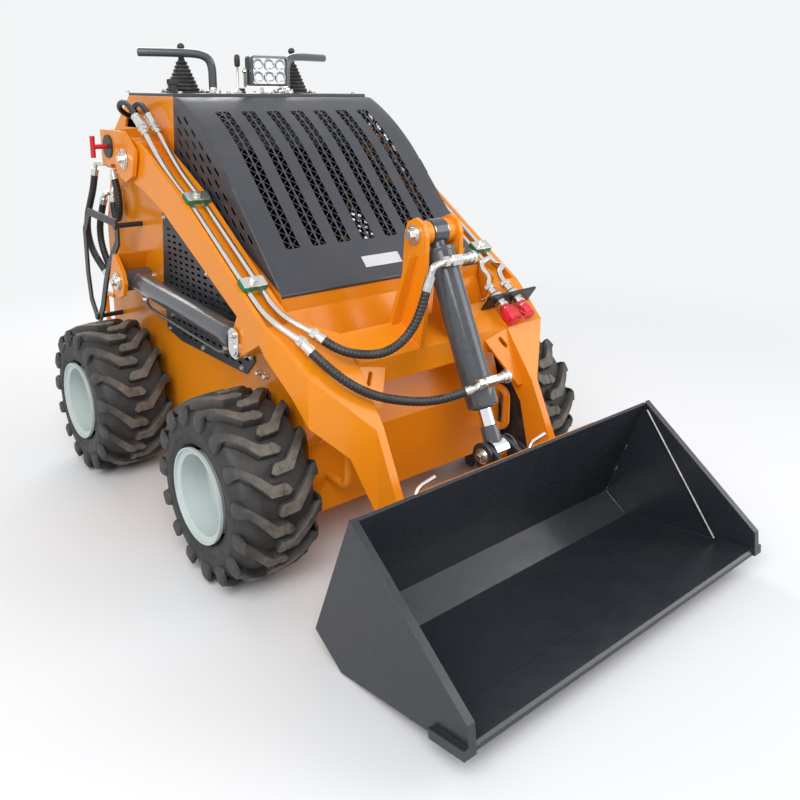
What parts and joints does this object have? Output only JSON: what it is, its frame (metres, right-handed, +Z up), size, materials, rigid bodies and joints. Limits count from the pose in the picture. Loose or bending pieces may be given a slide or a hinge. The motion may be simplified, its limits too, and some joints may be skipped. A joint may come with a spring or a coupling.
{
  "type": "compact wheeled skid steer loader",
  "caption": "Compact wheeled loader with lift arms, a tilting bucket, a perforated hood and an operator's step behind.",
  "frame": {"origin": "on the ground, below the middle of the machine's length and width", "axes": "+X to the machine's left, +Y from the bucket to the operator's end, +Z up"},
  "size_m": [1.146, 2.145, 1.292],
  "materials": {
    "orange_paint": "gloss orange paint",
    "dark_paint": "satin dark grey paint",
    "frame_paint": "gloss orange paint",
    "bucket_paint": "satin black paint",
    "axle_paint": "satin black paint",
    "cylinder_paint": "satin black paint",
    "chromed_rod": "polished chrome",
    "zinc_steel": "zinc plated",
    "engine_iron": "rough casting",
    "tyre_rubber": "moulded rubber",
    "rim_paint": "satin light paint",
    "hub_steel": "machined steel",
    "handle_grip": "matt black",
    "lamp_body": "matt black",
    "hose_rubber": "black hose with a spiral guard",
    "isolator_plastic": "red and black plastic"
  },
  "bodies": {
    "chassis": {"chassis_frame": "frame_paint", "front_panel": "orange_paint", "rear_panel": "orange_paint", "console_top": "dark_paint", "engine_block": "engine_iron", "hood": "dark_paint", "side_grilles": "dark_paint", "axle_housings": "axle_paint", "chassis_pins": "zinc_steel", "step_platform": "dark_paint", "grab_handles": "handle_grip", "drive_levers": "handle_grip", "throttle_lever": "handle_grip", "work_lamp": "lamp_body", "tie_down_handles": "orange_paint", "hose_guard": "axle_paint", "battery_isolator": "isolator_plastic", "hydraulic_fittings": "zinc_steel", "rear_hose_1": "hose_rubber", "rear_hose_2": "hose_rubber", "rear_hose_3": "hose_rubber"},
    "boom": {"boom_arm_left": "orange_paint", "boom_arm_right": "orange_paint", "boom_cross_member": "orange_paint", "tilt_tower": "orange_paint", "tilt_top_pin": "zinc_steel", "lift_rod_pins": "zinc_steel", "boom_pipes": "zinc_steel", "couplers": "zinc_steel", "tilt_hose_upper": "hose_rubber", "tilt_hose_lower": "hose_rubber", "boom_hose_left_outer": "hose_rubber", "boom_hose_left_inner": "hose_rubber", "boom_hose_right_outer": "hose_rubber", "boom_hose_right_inner": "hose_rubber"},
    "lift_barrel_left": {"lift_barrel_left": "cylinder_paint"},
    "lift_barrel_right": {"lift_barrel_right": "cylinder_paint"},
    "lift_rod_left": {"lift_rod_left": "chromed_rod"},
    "lift_rod_right": {"lift_rod_right": "chromed_rod"},
    "tilt_barrel": {"tilt_barrel": "cylinder_paint"},
    "tilt_rod": {"tilt_rod": "chromed_rod"},
    "bucket": {"bucket_shell": "bucket_paint", "attach_plate": "orange_paint", "tilt_ears": "dark_paint", "bucket_pins": "zinc_steel", "tilt_rod_pin": "zinc_steel", "lock_handles": "zinc_steel"},
    "wheel_front_left": {"tyre_front_left": "tyre_rubber", "rim_front_left": "rim_paint", "hub_front_left": "hub_steel"},
    "wheel_front_right": {"tyre_front_right": "tyre_rubber", "rim_front_right": "rim_paint", "hub_front_right": "hub_steel"},
    "wheel_rear_left": {"tyre_rear_left": "tyre_rubber", "rim_rear_left": "rim_paint", "hub_rear_left": "hub_steel"},
    "wheel_rear_right": {"tyre_rear_right": "tyre_rubber", "rim_rear_right": "rim_paint", "hub_rear_right": "hub_steel"}
  },
  "joints": [
    {"name": "spin_front_left", "type": "hinge", "parent": "chassis", "child": "wheel_front_left", "pos_m": [0.464, -0.2275, 0.23], "axis": [1, 0, 0], "continuous": true},
    {"name": "spin_front_right", "type": "hinge", "parent": "chassis", "child": "wheel_front_right", "pos_m": [-0.464, -0.2275, 0.23], "axis": [1, 0, 0], "continuous": true},
    {"name": "spin_rear_left", "type": "hinge", "parent": "chassis", "child": "wheel_rear_left", "pos_m": [0.464, 0.5625, 0.23], "axis": [1, 0, 0], "continuous": true},
    {"name": "spin_rear_right", "type": "hinge", "parent": "chassis", "child": "wheel_rear_right", "pos_m": [-0.464, 0.5625, 0.23], "axis": [1, 0, 0], "continuous": true},
    {"name": "boom_lift", "type": "hinge", "parent": "chassis", "child": "boom", "pos_m": [0, 0.3875, 0.971], "axis": [-1, 0, 0], "range_deg": [0, 75], "deforming": ["boom_hose_left_outer", "boom_hose_left_inner", "boom_hose_right_outer", "boom_hose_right_inner"]},
    {"name": "bucket_tilt", "type": "hinge", "parent": "boom", "child": "bucket", "pos_m": [0, -0.5825, 0.14], "axis": [1, 0, 0], "range_deg": [-8, 85]},
    {"name": "lift_swing_left", "type": "hinge", "parent": "chassis", "child": "lift_barrel_left", "pos_m": [0.385, 0.5055, 0.597], "axis": [-1, 0, 0], "range_deg": [0, 55]},
    {"name": "lift_stroke_left", "type": "slide", "parent": "lift_barrel_left", "child": "lift_rod_left", "axis": [0, -0.9979, -0.0643], "range_m": [0, 0.37]},
    {"name": "lift_swing_right", "type": "hinge", "parent": "chassis", "child": "lift_barrel_right", "pos_m": [-0.385, 0.5055, 0.597], "axis": [-1, 0, 0], "range_deg": [0, 55]},
    {"name": "lift_stroke_right", "type": "slide", "parent": "lift_barrel_right", "child": "lift_rod_right", "axis": [0, -0.9979, -0.0643], "range_m": [0, 0.37]},
    {"name": "tilt_swing", "type": "hinge", "parent": "boom", "child": "tilt_barrel", "pos_m": [0, -0.4175, 0.827], "axis": [1, 0, 0], "range_deg": [-1.5, 0.5], "deforming": ["tilt_hose_upper", "tilt_hose_lower"]},
    {"name": "tilt_stroke", "type": "slide", "parent": "tilt_barrel", "child": "tilt_rod", "axis": [0, -0.4186, -0.9082], "range_m": [-0.03, 0.28]}
  ],
  "couplings": [
    {"joint": "lift_swing_left", "follows": "boom_lift", "ratio": 0.72305},
    {"joint": "lift_stroke_left", "follows": "boom_lift", "m_per_rad": 0.28014},
    {"joint": "lift_swing_right", "follows": "boom_lift", "ratio": 0.72305},
    {"joint": "lift_stroke_right", "follows": "boom_lift", "m_per_rad": 0.28014},
    {"joint": "tilt_swing", "follows": "bucket_tilt", "ratio": -0.01422},
    {"joint": "tilt_stroke", "follows": "bucket_tilt", "m_per_rad": 0.18092}
  ]
}
